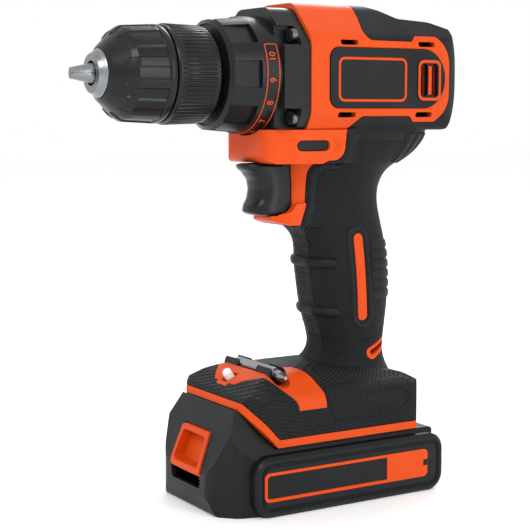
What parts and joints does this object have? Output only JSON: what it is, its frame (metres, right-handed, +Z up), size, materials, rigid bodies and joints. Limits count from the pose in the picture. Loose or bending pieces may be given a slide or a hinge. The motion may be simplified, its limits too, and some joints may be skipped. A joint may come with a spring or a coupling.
{
  "type": "cordless drill",
  "caption": "Compact cordless drill with keyless chuck, numbered torque collar, trigger, direction button, soft-grip pistol handle, foot lamp, stored driver bit and slide-on battery.",
  "frame": {"origin": "middle of the battery's flat base, on the drill's centre plane", "axes": "+Z up, the spindle runs along X with the chuck at -X, and the drill's left side is -Y"},
  "size_m": [0.1905, 0.0764, 0.2246],
  "materials": {
    "orange_plastic": "satin moulded plastic",
    "grip_rubber": "soft overmould with a fine diamond texture",
    "black_plastic": "satin moulded plastic",
    "steel": "machined",
    "gear_steel": "sintered",
    "copper": "bright",
    "dark_ferrite": "matte",
    "circuit_green": "solder mask",
    "cell_wrap": "shrink wrap",
    "lamp_clear": "clear moulded"
  },
  "bodies": {
    "housing": {"left_shell": "orange_plastic", "right_shell": "orange_plastic", "left_grip": "grip_rubber", "right_grip": "grip_rubber", "left_panel": "black_plastic", "right_panel": "black_plastic", "vent_grilles": "orange_plastic", "gearbox_case": "black_plastic", "gearbox_screws": "steel", "housing_screws": "steel", "ring_gear_rear": "steel", "ring_gear_front": "steel", "clutch_pins": "steel", "front_bearing": "steel", "gearbox_plate": "steel", "motor_can": "steel", "motor_magnets": "dark_ferrite", "motor_end_cap": "black_plastic", "motor_brushes": "dark_ferrite", "switch_body": "black_plastic", "terminal_block": "black_plastic", "tool_contacts": "copper", "lamp": "lamp_clear", "bit_clip": "black_plastic", "clutch_spring": "steel", "trigger_spring": "steel"},
    "torque_collar": {"torque_collar": "black_plastic"},
    "clutch_nut": {"clutch_nut": "black_plastic"},
    "spindle": {"spindle": "steel", "chuck_body": "steel", "rear_sleeve": "black_plastic", "chuck_screw": "steel"},
    "chuck_sleeve": {"front_sleeve": "black_plastic", "jaw_nut": "steel"},
    "jaw_1": {"jaw_1": "steel"},
    "jaw_2": {"jaw_2": "steel"},
    "jaw_3": {"jaw_3": "steel"},
    "middle_carrier": {"middle_carrier": "steel"},
    "rotor": {"motor_shaft": "steel", "armature": "steel", "commutator": "copper", "cooling_fan": "black_plastic"},
    "trigger": {"trigger": "black_plastic"},
    "direction_button": {"direction_button": "black_plastic"},
    "driver_bit": {"driver_bit": "steel"},
    "battery": {"battery_base": "black_plastic", "battery_cover": "black_plastic", "battery_screws": "steel", "battery_cells": "cell_wrap", "circuit_board": "circuit_green", "battery_contacts": "copper", "battery_labels": "orange_plastic", "release_spring": "steel"},
    "release_button": {"release_button": "orange_plastic"},
    "front_planet_1": {"front_planet_1": "gear_steel"},
    "front_planet_2": {"front_planet_2": "gear_steel"},
    "front_planet_3": {"front_planet_3": "gear_steel"},
    "rear_planet_1": {"rear_planet_1": "gear_steel"},
    "rear_planet_2": {"rear_planet_2": "gear_steel"},
    "rear_planet_3": {"rear_planet_3": "gear_steel"}
  },
  "joints": [
    {"name": "torque_collar_turn", "type": "hinge", "parent": "housing", "child": "torque_collar", "pos_m": [-0.019, 0, 0.1925], "axis": [-1, 0, 0], "range_deg": [0, 275.5]},
    {"name": "clutch_nut_slide", "type": "slide", "parent": "housing", "child": "clutch_nut", "axis": [-1, 0, 0], "range_m": [0, 0.004], "deforming": ["clutch_spring"]},
    {"name": "spindle_spin", "type": "hinge", "parent": "housing", "child": "spindle", "pos_m": [-0.025, 0, 0.1925], "axis": [1, 0, 0], "continuous": true},
    {"name": "middle_carrier_spin", "type": "hinge", "parent": "housing", "child": "middle_carrier", "pos_m": [0.0145, 0, 0.1925], "axis": [1, 0, 0], "continuous": true},
    {"name": "rotor_spin", "type": "hinge", "parent": "housing", "child": "rotor", "pos_m": [0.05, 0, 0.1925], "axis": [1, 0, 0], "continuous": true},
    {"name": "chuck_sleeve_turn", "type": "hinge", "parent": "spindle", "child": "chuck_sleeve", "pos_m": [-0.063, 0, 0.1925], "axis": [-1, 0, 0], "range_deg": [0, 3210]},
    {"name": "trigger_pull", "type": "slide", "parent": "housing", "child": "trigger", "axis": [1, 0, 0], "range_m": [0, 0.006], "stiffness_N_per_m": 900, "springref_m": -0.003, "deforming": ["trigger_spring"]},
    {"name": "direction_button_slide", "type": "slide", "parent": "housing", "child": "direction_button", "axis": [0, 1, 0], "range_m": [-0.0025, 0.0025]},
    {"name": "driver_bit_slide", "type": "slide", "parent": "housing", "child": "driver_bit", "axis": [0, -1, 0], "range_m": [0, 0.06]},
    {"name": "battery_slide", "type": "slide", "parent": "housing", "child": "battery", "axis": [-1, 0, 0], "range_m": [0, 0.09]},
    {"name": "release_button_press", "type": "slide", "parent": "battery", "child": "release_button", "axis": [-0.342, 0, -0.9397], "range_m": [0, 0.0035], "stiffness_N_per_m": 1500, "springref_m": -0.002, "deforming": ["release_spring"]},
    {"name": "jaw_1_slide", "type": "slide", "parent": "spindle", "child": "jaw_1", "axis": [0.9724, 0.2334, 0], "range_m": [0, 0.0214]},
    {"name": "front_planet_1_spin", "type": "hinge", "parent": "spindle", "child": "front_planet_1", "pos_m": [0.008, 0.0099, 0.1925], "axis": [1, 0, 0], "continuous": true},
    {"name": "rear_planet_1_spin", "type": "hinge", "parent": "middle_carrier", "child": "rear_planet_1", "pos_m": [0.021, 0.0099, 0.1925], "axis": [1, 0, 0], "continuous": true},
    {"name": "jaw_2_slide", "type": "slide", "parent": "spindle", "child": "jaw_2", "axis": [0.9724, -0.1167, 0.2022], "range_m": [0, 0.0214]},
    {"name": "front_planet_2_spin", "type": "hinge", "parent": "spindle", "child": "front_planet_2", "pos_m": [0.008, -0.00495, 0.20107], "axis": [1, 0, 0], "continuous": true},
    {"name": "rear_planet_2_spin", "type": "hinge", "parent": "middle_carrier", "child": "rear_planet_2", "pos_m": [0.021, -0.00495, 0.20107], "axis": [1, 0, 0], "continuous": true},
    {"name": "jaw_3_slide", "type": "slide", "parent": "spindle", "child": "jaw_3", "axis": [0.9724, -0.1167, -0.2022], "range_m": [0, 0.0214]},
    {"name": "front_planet_3_spin", "type": "hinge", "parent": "spindle", "child": "front_planet_3", "pos_m": [0.008, -0.00495, 0.18393], "axis": [1, 0, 0], "continuous": true},
    {"name": "rear_planet_3_spin", "type": "hinge", "parent": "middle_carrier", "child": "rear_planet_3", "pos_m": [0.021, -0.00495, 0.18393], "axis": [1, 0, 0], "continuous": true}
  ],
  "couplings": [
    {"joint": "clutch_nut_slide", "follows": "torque_collar_turn", "m_per_rad": 0.00083105},
    {"joint": "middle_carrier_spin", "follows": "spindle_spin", "ratio": 5.5},
    {"joint": "rotor_spin", "follows": "spindle_spin", "ratio": 30.25},
    {"joint": "jaw_1_slide", "follows": "chuck_sleeve_turn", "m_per_rad": 0.00038159},
    {"joint": "front_planet_1_spin", "follows": "spindle_spin", "ratio": -2.5714},
    {"joint": "rear_planet_1_spin", "follows": "spindle_spin", "ratio": -14.143},
    {"joint": "jaw_2_slide", "follows": "chuck_sleeve_turn", "m_per_rad": 0.00038159},
    {"joint": "front_planet_2_spin", "follows": "spindle_spin", "ratio": -2.5714},
    {"joint": "rear_planet_2_spin", "follows": "spindle_spin", "ratio": -14.143},
    {"joint": "jaw_3_slide", "follows": "chuck_sleeve_turn", "m_per_rad": 0.00038159},
    {"joint": "front_planet_3_spin", "follows": "spindle_spin", "ratio": -2.5714},
    {"joint": "rear_planet_3_spin", "follows": "spindle_spin", "ratio": -14.143}
  ]
}
